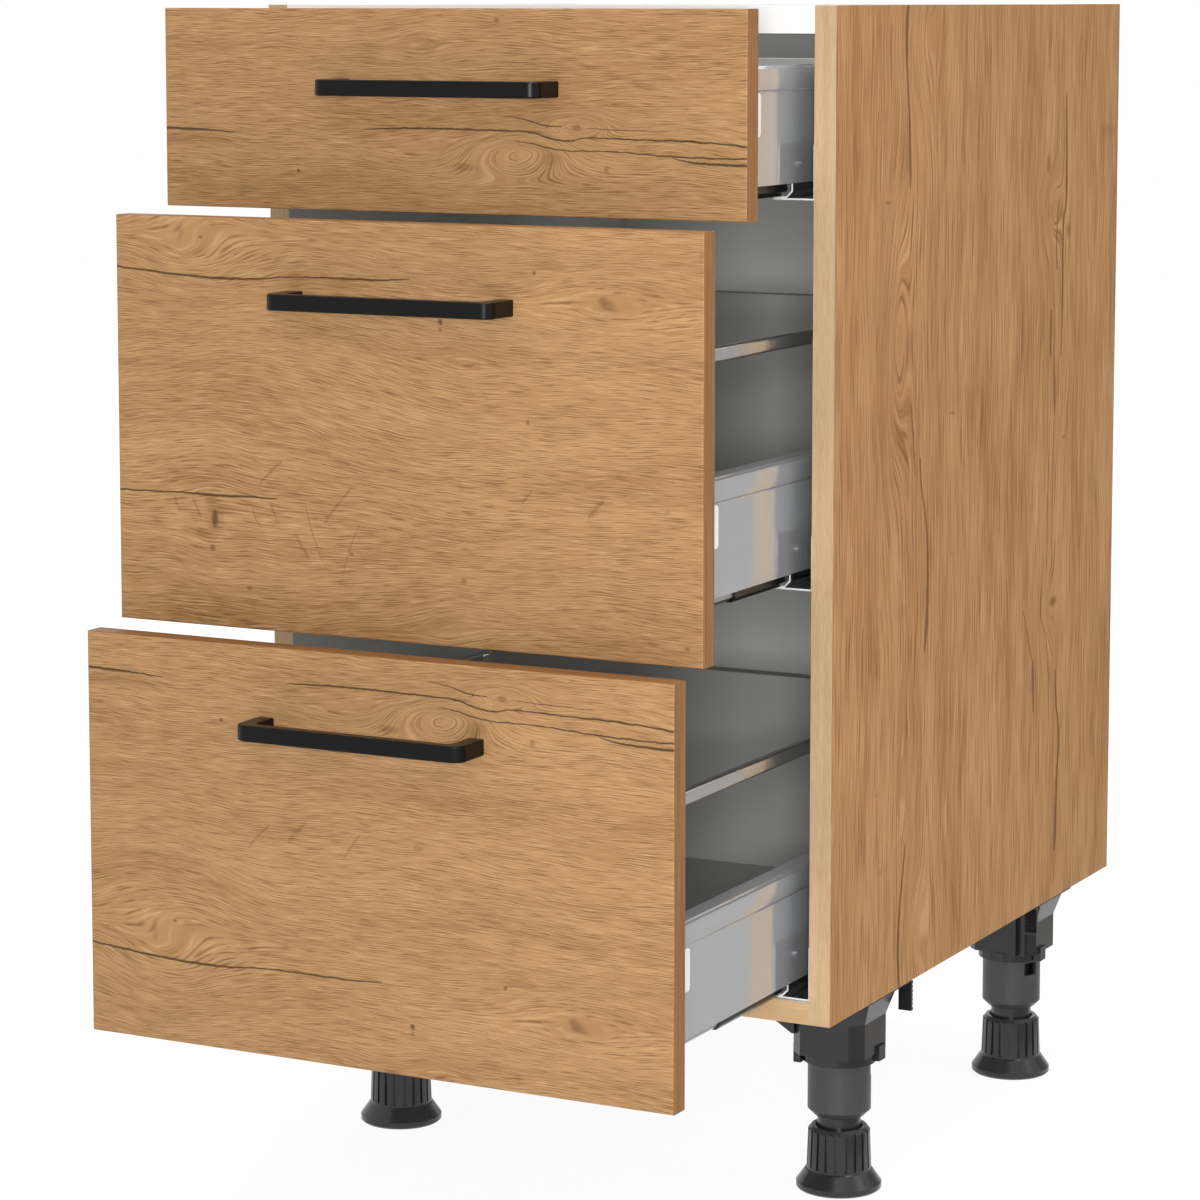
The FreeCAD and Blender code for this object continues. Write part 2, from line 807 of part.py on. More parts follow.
def gallery_rails(name, level, rear_of_front):
    """Length rails above the sides of a deep drawer, from a socket on the front to a holder on the back."""
    body = new_body(f"gallery_rail_{name}")
    middle = f"{level} + gallery_level"
    x = "side_x - drawer_side_width / 2"
    rail = new_sketch(body, "XZ", rear_of_front)
    low = f"{middle} - gallery_height / 2"
    high = f"{middle} + gallery_height / 2"
    rectangle(rail, f"{x} - gallery_width / 2", f"{x} + gallery_width / 2", low, high)
    pad(body, rail, "drawer_side_length", backwards=True)
    soften(body, "gallery_width * 0.3", lambda edge, box: runs_along(edge, "Y"))
    socket = new_sketch(body, "XZ", rear_of_front)
    reach = "gallery_socket / 2"
    rectangle(socket, f"{x} - {reach}", f"{x} + {reach}", f"{middle} - {reach}", f"{middle} + {reach}")
    pad(body, socket, "socket_depth", backwards=True)
    holder = new_sketch(body, "XZ", f"{rear_of_front} + drawer_side_length - board")
    rectangle(holder, "side_in_x - fit", f"{x} + gallery_width / 2", low, high)
    pad(body, holder, "board", backwards=True)
    pair(f"gallery_rails_{name}", body)


def drawer(name, front_z, front_height, level, opening, back_height, deep):
    """One drawer, stood open by its opening."""
    rear_of_front = f"front_y - front_clear - ({opening})"
    face = f"{rear_of_front} - front_board"
    handle_z = f"{front_z} + {front_height} - handle_drop"
    drawer_front(name, face, front_z, front_height, handle_z)
    drawer_handle(name, face, handle_z)
    handle_screws(name, face, handle_z)
    drawer_side(name, level, rear_of_front)
    drawer_bottom(name, level, rear_of_front)
    drawer_back(name, level, rear_of_front, back_height)
    drawer_rails(name, level, rear_of_front)
    cover_caps(name, level, rear_of_front)
    front_fixings(name, level, rear_of_front)
    if deep:
        gallery_rails(name, level, rear_of_front)


# ---------------------------------------------------------------- legs

LEG_SCREWS = [("-bracket_wing + 9", "-bracket_half + 5"), ("-bracket_wing + 9", "bracket_half - 5")]
LEG_SCREWS.append(("-housing_half", "bracket_tail - 7"))


def leg_screw_places():
    """(X, Y) of the screws of all four leg brackets."""
    for side in ("", "-"):
        for x, y in LEG_SCREWS:
            yield f"{side}(leg_x + {x})", f"leg_front_y + {y}"
            yield f"{side}(leg_x + {x})", f"leg_rear_y - ({y})"


def cut_square(half, corner):
    """A square about the origin with its corners cut off."""
    near_corner = f"{half} - {corner}"
    quarter = [(half, near_corner), (near_corner, half)]
    corners = list(quarter)
    corners += [(f"-({x})", y) for x, y in reversed(quarter)]
    corners += [(f"-({x})", f"-({y})") for x, y in quarter]
    corners += [(x, f"-({y})") for x, y in reversed(quarter)]
    return corners


def leg_bracket():
    """Moulded socket with a screw-on plate, a wing to the inside, and ribs and a toothed comb behind."""
    body = new_body("leg_bracket_front_right")
    plate = new_sketch(body, "XY", "-bracket_plate")
    rectangle(plate, "-bracket_wing", "bracket_half", "-bracket_half", "bracket_tail")
    pad(body, plate, "bracket_plate")
    soften(body, "housing_corner", lambda edge, box: runs_along(edge, "Z"))
    wide = new_sketch(body, "XY", "-bracket_plate")
    polygon(wide, cut_square("housing_top", "housing_corner"))
    slim = new_sketch(body, "XY", "-housing_taper")
    polygon(slim, cut_square("housing_half", "housing_corner"))
    loft = body.newObject("PartDesign::AdditiveLoft", "Loft")
    loft.Profile = wide
    loft.Sections = [slim]
    loft.Ruled = True
    shank = new_sketch(body, "XY", "-housing_bottom")
    polygon(shank, cut_square("housing_half", "housing_corner"))
    pad(body, shank, "housing_bottom - housing_taper")
    wing = new_sketch(body, "XZ")
    corners = [("-housing_half + 2", "-bracket_plate"), ("-bracket_wing + 3", "-bracket_plate")]
    corners += [("-bracket_wing + 4", "-bracket_plate - 12"), ("-bracket_wing + 11", "-bracket_plate - 21")]
    corners += [("-housing_half", "-bracket_plate - 31"), ("-housing_half + 2", "-bracket_plate - 31")]
    polygon(wing, corners)
    pad(body, wing, "2 * (housing_half - housing_corner) + 8", both_ways=True)
    flat = new_sketch(body, "XY", "-bracket_plate")
    rectangle(flat, "-housing_top - 1", "housing_top + 1", "housing_half - rib_thick", "housing_top + 1")
    pocket(body, flat, "housing_bottom - bracket_plate")
    rim = new_sketch(body, "XY", "-rim_bottom")
    circle(rim, "0", "0", "rim_half")
    pad(body, rim, "rim_bottom - housing_bottom")
    ribs = new_sketch(body, "XY", "-housing_bottom")
    for x in ("housing_half / 2 - 1.5", "housing_half / 2 + 6"):
        rectangle(ribs, x, f"{x} + rib_thick", "housing_half - 2 * rib_thick", "rib_reach")
    pad(body, ribs, "housing_bottom - bracket_plate")
    clips = new_sketch(body, "XY", "-clip_bottom")
    rectangle(clips, "-housing_half - 1.5", "-tube_radius - 1", "-16", "-5")
    pad(body, clips, "clip_bottom - housing_bottom + 5")
    hook = new_sketch(body, "XY", "-rim_bottom + 1")
    rectangle(hook, "tube_radius + 1", "housing_half + 2", "3", "14")
    pad(body, hook, "rim_bottom - housing_bottom + 4")
    comb = new_sketch(body, "YZ", "bracket_half - comb_width")
    rectangle(comb, "bracket_tail - comb_thick", "bracket_tail", "-bracket_plate - comb_drop", "-bracket_plate")
    pad(body, comb, "comb_width")
    tooth = new_sketch(body, "YZ", "bracket_half")
    tip = "-bracket_plate - comb_drop + comb_pitch / 2"
    polygon(
        tooth,
        [
            ("bracket_tail", tip),
            ("bracket_tail", f"{tip} + comb_pitch"),
            ("bracket_tail - comb_tooth", f"{tip} + comb_pitch / 2"),
        ],
    )
    notch = pocket(body, tooth, "comb_width")
    pattern(body, "LinearPattern", notch, "Z", Length="comb_pitch * (comb_teeth - 1)", Occurrences="comb_teeth")
    bore = new_sketch(body, "XY", "-rim_bottom")
    circle(bore, "0", "0", "tube_radius + tube_play")
    pocket(body, bore, "rim_bottom - tube_top", backwards=True)
    holes = new_sketch(body, "XY")
    for x, y in LEG_SCREWS:
        circle(holes, x, y, "wood_screw_core + 2 * dowel_play")
    pocket(body, holes, "2 * bracket_plate")
    return body


def leg_tube():
    """Upper tube of the leg, tapered at its mouth, with a clip window under the bracket's rim."""
    body = new_body("leg_tube_front_right")
    outline = new_sketch(body, "XZ")
    bore = "tube_radius - tube_wall"
    guide = "stem_radius + fit"
    corners = [(guide, "-tube_bottom"), ("tube_radius - tube_taper", "-tube_bottom")]
    corners += [("tube_radius", "-tube_bottom + tube_taper"), ("tube_radius", "-tube_top"), (bore, "-tube_top")]
    corners += [(bore, "-tube_bottom + tube_guide"), (guide, "-tube_bottom + tube_guide")]
    polygon(outline, corners)
    spin(body, outline)
    window = new_sketch(body, "YZ")
    rectangle(window, "-6", "6", "-rim_bottom - 12", "-rim_bottom - 2")
    pocket(body, window, "tube_radius + 1", backwards=True)
    body.Placement.Rotation = FreeCAD.Rotation(Vector(0, 0, 1), 27)
    return body


def foot():
    """Screw-in foot: threaded stem, ribbed collar to turn it by, and a broad plate."""
    body = new_body("foot_front_right")
    outline = new_sketch(body, "XZ")
    base = "-leg_height"
    corners = [
        ("0", base),
        ("plate_radius - 1.5", base),
        ("plate_radius", f"{base} + 1.5"),
        ("plate_radius", f"{base} + plate_edge"),
        ("collar_radius + collar_flare + 1", f"{base} + collar_bottom - 0.8"),
        ("collar_radius + collar_flare", f"{base} + collar_bottom"),
        ("collar_radius", f"{base} + collar_top - 3"),
        ("collar_radius - 2.5", f"{base} + collar_top"),
        ("stem_radius + 1.5", f"{base} + collar_top"),
        ("stem_radius", f"{base} + collar_top - 3"),
        ("stem_radius", "-stem_top"),
        ("0", "-stem_top"),
    ]
    polygon(outline, corners)
    spin(body, outline)
    groove = new_sketch(body, "XY", f"{base} + collar_bottom + 1.5")
    rectangle(groove, "collar_radius - collar_groove", "collar_radius + 5", "-collar_groove", "collar_groove")
    cut = pocket(body, groove, "collar_top - collar_bottom + 5", backwards=True)
    pattern(body, "PolarPattern", cut, "Z", Angle=360.0, Occurrences="collar_grooves")
    return body


def legs():
    """Four legs: the front right one is placed under the carcass and the other three mirror it."""
    for kind, make in (("leg_bracket", leg_bracket), ("leg_tube", leg_tube), ("foot", foot)):
        front = make()
        bind(front, Placement__Base__x="leg_x", Placement__Base__y="leg_front_y", Placement__Base__z="leg_height")
        rear = mirrored_back(front, f"{kind}_rear_right")
        for row, right in (("front", front), ("rear", rear)):
            node(right, f"{kind}_{row}_right")
            label = f"{kind}_{row}_left"
            node(mirrored(right, label), label)


def leg_screws():
    """Pan-head screws up through the brackets into the bottom panel."""
    screws = []
    for number, (x, y) in enumerate(leg_screw_places()):
        z = "leg_height - bracket_plate"
        sizes = ("wood_screw_core", "wood_screw_length", "wood_screw_head", "wood_screw_cap")
        screws.append(headed_screw(f"leg_screw_{number}", *sizes, x, y, z, "Z"))
    group("leg_screws", screws)


# ---------------------------------------------------------------- assembly

side_panel()
bottom_panel()
back_panel()
top_rail("top_rail_front", "front_y", RAIL_DOWELS[:2])
top_rail("top_rail_rear", "back_rail_y", RAIL_DOWELS[2:])
dowels()
for drawer_name, facts in DRAWERS.items():
    cabinet_rails(drawer_name, facts["level"])
    slide_rails(drawer_name, facts["level"], facts["opening"])
    drawer(drawer_name, **facts)
runner_screws()
legs()
leg_screws()
doc.recompute()

for thing in doc.Objects:
    if {"Invalid", "Error"} & set(thing.State):
        raise RuntimeError(f"{thing.Label} failed: {thing.State}")
for thing in nodes:
    if thing.Shape.isNull() or not thing.Shape.isValid():
        raise RuntimeError(f"{thing.Label} has no valid shape")

os.makedirs("parts", exist_ok=True)
for thing in nodes:
    thing.Shape.exportStep(f"parts/{thing.Label}.step")
print(len(nodes), "sub-parts,", sum(len(thing.Shape.Solids) for thing in nodes), "solids")
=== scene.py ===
import bpy
import math
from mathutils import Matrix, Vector


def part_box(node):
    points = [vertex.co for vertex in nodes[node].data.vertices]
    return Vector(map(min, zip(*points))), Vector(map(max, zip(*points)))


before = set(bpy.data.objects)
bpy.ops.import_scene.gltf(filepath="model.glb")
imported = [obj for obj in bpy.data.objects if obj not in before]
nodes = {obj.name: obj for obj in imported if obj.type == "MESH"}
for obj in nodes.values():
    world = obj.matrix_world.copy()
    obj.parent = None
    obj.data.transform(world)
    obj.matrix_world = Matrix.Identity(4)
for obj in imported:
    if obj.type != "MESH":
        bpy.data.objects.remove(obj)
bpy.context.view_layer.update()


# ---------------------------------------------------------------- side panels
# Two uprights of chipboard in a printed oak decor: upright grain with cracks and knots outside, a brushed grey
# decor inside, and a paler oak edging that is ironed onto the edges.


class Socket:
    """An output of a material's nodes: maths on it is written as maths."""

    def __init__(self, finish, socket):
        self.finish = finish
        self.socket = socket

    def math(self, operation, *others):
        sockets = {number: value for number, value in enumerate((self, *others))}
        return self.finish.node("Math", {"operation": operation}, sockets)

    def __add__(self, other):
        return self.math("ADD", other)

    def __sub__(self, other):
        return self.math("SUBTRACT", other)

    def __mul__(self, other):
        return self.math("MULTIPLY", other)

    def __truediv__(self, other):
        return self.math("DIVIDE", other)

    def __rsub__(self, other):
        return self.finish.node("Math", {"operation": "SUBTRACT"}, {0: other, 1: self})

    def __neg__(self):
        return self * -1

    def __abs__(self):
        return self.math("ABSOLUTE")

    def __gt__(self, other):
        return self.math("GREATER_THAN", other)

    __radd__ = __add__
    __rmul__ = __mul__

    def step(self, low, high):
        """0 below low, 1 above high and an easy rise between; low may be the larger."""
        settings = {"interpolation_type": "SMOOTHSTEP"}
        return self.finish.node("MapRange", settings, {"Value": self, "From Min": low, "From Max": high})

    def held(self):
        """Kept between 0 and 1."""
        return self.finish.node("Clamp", {}, {"Value": self, "Min": 0.0, "Max": 1.0})


class Finish:
    """A material, or the world, with a method for its nodes and one for each kind of pattern."""

    def __init__(self, name, kept_in="materials", surface="Principled BSDF"):
        self.material = getattr(bpy.data, kept_in).new(name)
        self.material.use_nodes = True
        self.tree = self.material.node_tree
        self.surface = self.tree.nodes[surface]

    def set(self, target, values):
        """Links or writes values to the sockets of a node."""
        for key, value in values.items():
            if isinstance(value, Socket):
                self.tree.links.new(value.socket, target.inputs[key])
            else:
                target.inputs[key].default_value = value

    def node(self, kind, settings, values, output=0):
        """Any node: its settings first, then the values or links of its sockets."""
        made = self.tree.nodes.new("ShaderNode" + kind)
        for key, value in settings.items():
            if key == "curve":
                points = made.mapping.curves[0].points
                for number, (x, y) in enumerate(value):
                    point = points[number] if number < 2 else points.new(x, y)
                    point.location = (x, y)
                made.mapping.update()
            else:
                setattr(made, key, value)
        self.set(made, values)
        return Socket(self, made.outputs[output])

    def place(self):
        """X, Y and Z of the surface in millimetres, in the object's own frame."""
        spot = self.node("TexCoord", {}, {}, "Object")
        return [self.node("SeparateXYZ", {}, {0: spot}, axis) * 1000 for axis in range(3)]

    def facing(self):
        """The surface's normal as three numbers."""
        way = self.node("TexCoord", {}, {}, "Normal")
        return [self.node("SeparateXYZ", {}, {0: way}, axis) for axis in range(3)]

    def noise(self, x, y, z=0.0, detail=2.0):
        """Cloudy noise about 0, mostly from -1 to 1, with one cloud per unit of x, y and z.

        Where the pattern is flat, z only picks another part of the noise.
        """
        spot = self.node("CombineXYZ", {}, {0: x, 1: y, 2: z})
        values = {"Vector": spot, "Scale": 1.0, "Detail": detail, "Roughness": 0.5}
        return (self.node("TexNoise", {}, values) - 0.5) * 4

    def blend(self, share, first, second):
        """A colour between first and second, which share brings in."""
        values = {0: share, 6: first, 7: second}
        return self.node("Mix", {"data_type": "RGBA", "clamp_factor": True}, values, 2)

    def finish(self, color, roughness, bump=None, depth=0.0, **more):
        """Feeds the shader and returns the material. bump is a height from 0 to 1, depth its full height in metres."""
        self.set(self.surface, {"Base Color": color, "Roughness": roughness, **more})
        if bump is not None:
            values = {"Height": bump, "Strength": 1.0, "Distance": depth}
            self.set(self.surface, {"Normal": self.node("Bump", {}, values)})
        return self.material


def tone(red, green, blue):
    """A colour as it looks on a screen, 0 to 255, as the shader's linear colour."""
    linear = [((c / 255 + 0.055) / 1.055) ** 2.4 if c > 10.3 else c / 3295 for c in (red, green, blue)]
    return (*linear, 1.0)


OAK_LIGHT = tone(181, 141, 95)
OAK_DARK = tone(137, 95, 53)
OAK_SHINE = tone(204, 166, 121)
OAK_PORE = tone(94, 58, 26)
OAK_KNOT = tone(84, 46, 16)
OAK_CRACK = tone(62, 40, 20)

# Millimetres: how far a closed swirl lifts the growth lines at its middle, how far apart the fine lines lie, and how
# long and wide the printed pores are.
SWIRL_RISE = 45
LINE_PITCH = 1.25
PORE_LENGTH = 19
PORE_WIDTH = 0.76

# How strongly each mark covers the ground colour.
PORE_SHARE = 0.56
SHINE_SHARE = 0.42
FLECK_SHARE = 0.32
CRACK_SHARE = 0.92


def wander(finish, along, across, swirls):
    """Where the growth lines run: across the grain in millimetres, bent by noise and drawn into rings by swirls.

    A swirl is (along, across, half length, half width, pull); a pull over 1 closes the lines into rings.
    The second value is how near the swirls are: 1 at the middle of one, 0 far off.
    """
    line = across + finish.noise(along / 170, across / 60) * 5 + finish.noise(along / 45, across / 16) * 0.8
    whole = 0.0
    for centre_along, centre_across, half_length, half_width, pull in swirls:
        length = (along - centre_along) / half_length
        width = (line - centre_across) / half_width
        near = finish.node("Math", {"operation": "EXPONENT"}, {0: -(length * length + width * width)})
        line = line - (line - centre_across) * near * min(pull, 1) + near * max(0, pull - 1) * SWIRL_RISE
        whole = near + whole
    return line, whole


def trace(finish, along, across, points, spread=1.15):
    """A dark line through points, each (along, across, half thickness) in millimetres. spread softens its edges."""
    start, end = points[0][0], points[-1][0]
    span = (along - start) / (end - start)
    low = min(point[1] for point in points) - 1
    high = max(point[1] for point in points) + 1
    path = [((a - start) / (end - start), (b - low) / (high - low)) for a, b, _ in points]
    girth = [((a - start) / (end - start), thick / 2) for a, _, thick in points]
    middle = finish.node("FloatCurve", {"curve": path}, {"Value": span}) * (high - low) + low
    thick = finish.node("FloatCurve", {"curve": girth}, {"Value": span}) * 2
    inside = (span > 0) * (1 - (span > 1))
    return inside * (1 - (abs(across - middle) / thick).step(0.3, spread))


def spot(finish, along, across, centre_along, centre_across, half_length, half_width):
    """A soft dark mark, 1 at its middle."""
    length = (along - centre_along) / half_length
    width = (across - centre_across) / half_width
    return 1 - (length * length + width * width).step(0.0, 1.3)


def strongest(masks):
    """Several masks laid over each other."""
    whole = masks[0]
    for mask in masks[1:]:
        whole = whole.math("MAXIMUM", mask)
    return whole


def oak(finish, along, across, swirls=(), cracks=(), flecks=(), smudges=(), seed=0.0, coarse=1.0, bold=1.0):
    """Colour and height of an oak decor. along and across the grain are in millimetres.

    seed picks another board, coarse widens the grain, and bold deepens its light and dark.
    """
    line, near = wander(finish, along, across, swirls)

    # Broad bands, growth rings that show most at the swirls, and fine fibres make the ground colour.
    band = finish.noise(along / 230, line / 42, 3.1 + seed) * 0.16
    tide = band + finish.noise(along / 90, line / 11, 7.7 + seed) * 0.1
    ring = finish.noise(along / 420, line / (4.5 * coarse), 1.3 + seed, detail=1.0)
    fibre = finish.noise(along / 40, line / (0.6 * coarse), 9.2 + seed, detail=1.0)
    light = 0.6 + tide * (coarse * bold) + ring * (0.07 + 0.12 * near) + fibre * (0.22 * bold)
    color = finish.blend(light.held(), OAK_DARK, OAK_LIGHT)

    # Pores and shining rays are short dashes that follow the fine growth lines.
    course = line / (LINE_PITCH * coarse) + finish.noise(along / 70, line / 8, 1.3 + seed) * 0.9
    comb = (course * (2 * math.pi)).math("SINE") * 0.3
    reach, girth = PORE_LENGTH * coarse * coarse, PORE_WIDTH * coarse
    gate = finish.noise(along / reach, line / girth, 5.0 + seed, detail=1.0)
    dash = comb + gate + finish.noise(along / 80, line / 14, 4.4 + seed) * 0.25
    pores = dash.step(0.2, 0.85)
    shine = (-dash).step(0.2, 0.85)
    color = finish.blend(shine * (SHINE_SHARE * bold), color, OAK_SHINE)
    color = finish.blend(pores * (PORE_SHARE * bold), color, OAK_PORE)

    # Knots, slanting flecks and cracks lie on top, each with a ragged outline.
    ragged = across + finish.noise(along / 5, across / 4, 6.0) * 0.9
    if smudges:
        marks = [spot(finish, along, ragged, *mark[:4]) * mark[4] for mark in smudges]
        color = finish.blend(strongest(marks), color, OAK_KNOT)
    if flecks:
        marks = [trace(finish, along, ragged, points, 3.0) for points in flecks]
        color = finish.blend(strongest(marks) * FLECK_SHARE, color, OAK_KNOT)
    jitter = across + finish.noise(along / 9, across / 9, 6.0) * 0.45 + finish.noise(along / 2, across / 2, 3.0) * 0.12
    split = strongest([trace(finish, along, jitter, points) for points in cracks])
    color = finish.blend(split * CRACK_SHARE, color, OAK_CRACK)
    return color, (0.6 - pores * 0.5 + shine * 0.2).held()


def brushed_grey(finish, along, across):
    """Colour and roughness of the grey decor, printed as if brushed along the board."""
    strokes = finish.noise(along / 160, across / 0.9, 11.0, detail=3.0) * 0.10
    strokes = strokes + finish.noise(along / 30, across / 4, 12.0) * 0.03
    color = finish.blend((0.5 + strokes).held(), tone(206, 207, 204), tone(230, 231, 228))
    return color, 0.42 + strokes * 0.3


side_low, side_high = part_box("side_panel_right")
SIDE_TOP = 1000 * side_high[2]
SIDE_FRONT = 1000 * side_low[1]
SIDE_BOARD = dict(seed=20.0, coarse=1.9, bold=1.3)
SIDE_TINT = tone(184, 114, 16)
SIDE_TINT_SHARE = 0.2
SIDE_ROUGHNESS = 0.52
GRAIN_DEPTH = 0.00018
WOOD_GLOSS = {"Specular IOR Level": 0.3}

# Marks of the side's decor, down from the top and back from the front edge, in millimetres. Swirls are as in wander,
# cracks as in trace, and smudges are (along, across, half length, half width, strength).
SIDE_SWIRLS = [
    (240, 113, 105, 32, 1.75),
    (20, 168, 60, 34, 1.2),
    (668, 165, 60, 34, 1.2),
    (158, 420, 36, 26, 1.5),
    (465, 424, 42, 20, 1.25),
    (560, 128, 80, 16, 1.0),
]
SIDE_CRACKS = [
    [(-10, 126, 3.1), (30, 122, 2.8), (58, 125, 1.7), (88, 128.5, 2.1), (118, 130, 1.5), (128, 130, 0.1)],
    [(322, 153, 1.0), (345, 156, 1.7), (365, 164, 1.5), (400, 169, 2.2), (436, 169, 2.8), (466, 164, 1.0)],
    [(280, 135, 0.3), (300, 139, 1.3), (335, 144, 0.6)],
    [(600, 132, 0.8), (625, 127, 2.0), (650, 122, 2.0), (676, 120, 2.7), (704, 123, 2.2)],
    [
        (68, 442, 0.6), (110, 443.5, 2.5), (150, 444, 2.7), (172, 438, 2.0), (208, 438, 2.2), (240, 438.5, 1.7),
        (275, 433, 0.8),
    ],
    [(150, 429, 1.0), (180, 424, 1.3), (205, 425, 0.8)],
    [(235, 415, 1.1), (255, 414, 2.7), (272, 415, 1.0)],
    [(240, 421, 0.8), (270, 421.5, 1.7), (300, 423.5, 2.1), (318, 424, 0.6)],
    [(505, 384, 1.0), (525, 385, 2.2), (547, 387, 1.7)],
    [(463, 362, 0.6), (480, 370, 1.1), (505, 381, 1.0)],
    [(450, 403, 0.6), (465, 399, 1.0), (485, 408, 1.0), (500, 414, 0.8), (540, 420, 0.6), (575, 420, 0.3)],
    [(520, 433, 1.0), (550, 437, 2.2), (580, 443, 2.5), (605, 440, 2.0), (640, 439, 2.7), (666, 436, 1.1)],
    [(320, 414, 0.6), (380, 412.5, 1.0), (440, 411, 0.6)],
    [(320, 423, 0.6), (380, 422, 0.8), (440, 422, 0.6)],
]
SIDE_SMUDGES = [
    (465, 426, 4.5, 9, 0.75),
    (175, 450, 7, 6, 0.6),
    (158, 420, 9, 17, 0.28),
    (122, 405, 9, 5, 0.55),
    (137, 90, 1.5, 5, 0.55),
    (296, 214, 1.8, 5, 0.6),
    (337, 445, 2, 4, 0.5),
    (100, 540, 6, 18, 0.28),
    (555, 80, 2, 5, 0.3),
    (612, 86, 2, 4, 0.3),
    (400, 215, 1.5, 4, 0.3),
    (290, 240, 14, 40, 0.10),
    (430, 122, 6, 14, 0.18),
]


def side_finish():
    """Oak on the outer face, brushed grey on the inner one, pale oak edging all round."""
    finish = Finish("side_panel_board")
    x, y, z = finish.place()
    across_out, across_front, across_up = finish.facing()
    down = SIDE_TOP - z
    back = y - SIDE_FRONT
    bark, height = oak(finish, down, back, SIDE_SWIRLS, SIDE_CRACKS, smudges=SIDE_SMUDGES, **SIDE_BOARD)
    bark = finish.blend(SIDE_TINT_SHARE, bark, SIDE_TINT)
    grey, gloss = brushed_grey(finish, back, down)
    run = z + y * abs(across_up)
    edging_light = finish.noise(run / 14, x / 0.8, 4.0, detail=1.0) * 0.3 + finish.noise(run / 200, x / 5, 8.0) * 0.2
    edging = finish.blend((0.5 + edging_light).held(), tone(177, 146, 108), tone(208, 180, 143))
    inside = (x * across_out).step(0.0, -0.1)
    edge = (abs(across_front) + abs(across_up)).step(0.4, 0.6)
    color = finish.blend(edge, finish.blend(inside, bark, grey), edging)
    roughness = SIDE_ROUGHNESS * (1 - inside) + gloss * inside
    height = height * (1 - inside) + 0.5 * inside
    return finish.finish(color, roughness, height, GRAIN_DEPTH, **WOOD_GLOSS)


def dress(names, material):
    """Gives CAD nodes a material."""
    for name in names:
        slots = nodes[name].material_slots
        if not slots:
            nodes[name].data.materials.append(material)
        for slot in slots:
            slot.material = material


dress(["side_panel_left", "side_panel_right"], side_finish())


# ---------------------------------------------------------------- bottom panel
# A chipboard on dowels between the sides, grooved for the back and drilled for the legs' screws. It has the grey
# decor above and below, and the oak edging along its front edge.


def bottom_panel_finish():
    finish = Finish("bottom_panel_board")
    x, y, z = finish.place()
    _, across_front, _ = finish.facing()
    grey, gloss = brushed_grey(finish, y, x)
    light = finish.noise(x / 60, z / 2.2, 2.0, detail=3.0) * 0.22 + finish.noise(x / 12, z / 0.8, 5.0) * 0.12
    edging = finish.blend((0.5 + light).held(), tone(180, 144, 98), tone(214, 180, 135))
    front = (-across_front).step(0.4, 0.6)
    return finish.finish(finish.blend(front, grey, edging), 0.5 * front + gloss * (1 - front))


dress(["bottom_panel"], bottom_panel_finish())


# ---------------------------------------------------------------- top rails, back and dowels
# White coated rails tie the sides together at the top, the thin back slides down its grooves from above, and the
# dowels in the board joints are beech.


def white_board_finish():
    finish = Finish("white_board")
    x, y, z = finish.place()
    grain = finish.noise(x / 3, y / 3, z / 3, detail=3.0)
    color = finish.blend((0.5 + grain * 0.1).held(), tone(238, 238, 237), tone(246, 246, 246))
    return finish.finish(color, 0.45 + grain * 0.03, 0.5 + grain * 0.1, 0.00004)


def back_panel_finish():
    finish = Finish("back_panel_board")
    x, y, z = finish.place()
    color, gloss = brushed_grey(finish, z, x)
    return finish.finish(color, gloss)


def beech_finish():
    finish = Finish("beech_dowel")
    x, y, z = finish.place()
    light = finish.noise(x / 9, y / 0.7, z / 0.7) * 0.25
    return finish.finish(finish.blend((0.5 + light).held(), tone(176, 138, 92), tone(214, 180, 134)), 0.6)


dress(["top_rail_front", "top_rail_rear"], white_board_finish())
dress(["back_panel"], back_panel_finish())
dress(["carcass_dowels"], beech_finish())


# ---------------------------------------------------------------- runners and screws
# Channels rolled from steel with a bright zinc plate, their front cut edges with a painted highlight. The outer ones
# are screwed to the sides; the middle ones are painted dark as shade inside the channels. The screws and the cast
# fixings of the fronts are zinc plated too.

DRAWERS = ("top", "middle", "bottom")


def zinc_finish(name, dark, light, roughness):
    """Metal with a cloudy plating, drawn out along the drawers' way."""
    finish = Finish(name)
    x, y, z = finish.place()
    cloud = finish.noise(x / 5, y / 5, z / 5, detail=3.0)
    streak = finish.noise(x / 1.5, y / 60, z / 1.5, 3.0)
    color = finish.blend((0.5 + cloud * 0.12 + streak * 0.14).held(), dark, light)
    return finish.finish(color, roughness + cloud * 0.04, 0.5 + cloud * 0.1, 0.00003, Metallic=1.0)


def sheet_finish():
    """Zinc-plated sheet; its front-facing cut edges get a painted highlight, near-white and almost non-metallic."""
    finish = Finish("zinc_plated_sheet")
    x, y, z = finish.place()
    _, across_front, _ = finish.facing()
    streak = finish.noise(x / 1.5, y / 60, z / 1.5, 3.0)
    # Painted highlight: the faces that face the front, the cut edges, are painted near-white and made almost
    # non-metallic.
    edge = (-across_front).step(0.6, 0.8)
    color = finish.blend((0.5 + streak * 0.14).held(), tone(184, 186, 188), tone(222, 224, 226))
    color = finish.blend(edge, color, tone(236, 237, 238))
    return finish.finish(color, 0.28 + streak * 0.03, Metallic=1 - edge * 0.9)


rail_steel = sheet_finish()
# Painted shade: the middle runner members are painted dark for the shade inside the outer channels.
painted_shade_steel = zinc_finish("painted_shade_steel", tone(52, 53, 54), tone(92, 93, 94), 0.3)
screw_steel = zinc_finish("screw_steel", tone(160, 160, 158), tone(214, 214, 210), 0.3)
cast_zinc = zinc_finish("cast_zinc", tone(140, 142, 144), tone(180, 182, 184), 0.45)
for name in DRAWERS:
    dress([f"cabinet_rails_{name}", f"drawer_rails_{name}"], rail_steel)
    dress([f"slide_rails_{name}"], painted_shade_steel)
    dress([f"front_fixings_{name}"], cast_zinc)
    dress([f"handle_screws_{name}"], screw_steel)
dress(["runner_screws", "leg_screws"], screw_steel)


